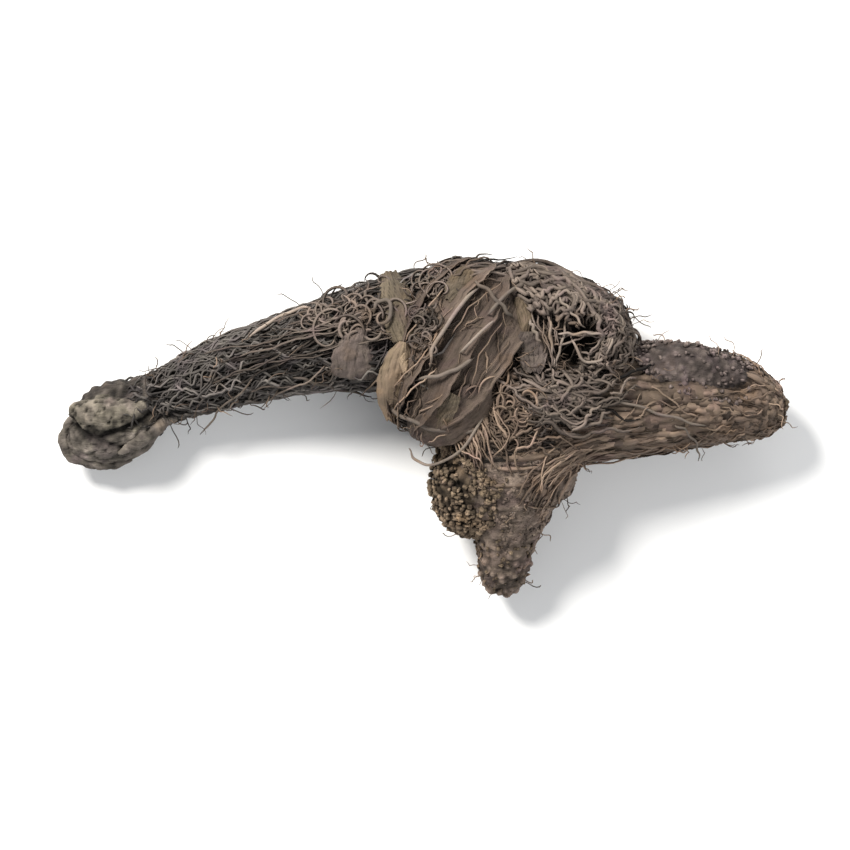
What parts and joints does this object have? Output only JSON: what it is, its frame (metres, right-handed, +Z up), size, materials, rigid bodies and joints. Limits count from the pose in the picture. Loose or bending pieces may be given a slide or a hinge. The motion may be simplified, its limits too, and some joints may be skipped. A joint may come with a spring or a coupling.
{
  "type": "dried valerian root",
  "caption": "Dried root crown of the valerian family: a branching woody rhizome wrapped in netted fibres, papery sheaths and wiry rootlets, lying on its flattest side.",
  "frame": {"origin": "middle of the small flat spot under the crown that the root rests on", "axes": "+Z up from the surface it lies on, +X along the root towards the thick arm, +Y towards the back of the crown, away from the stub"},
  "size_m": [0.0635, 0.03, 0.0153],
  "materials": {
    "dried_root": "dry, fibrous and matt, dark grey brown with paler fibres"
  },
  "bodies": {
    "root": {"valerian_root": "dried_root"}
  },
  "joints": []
}
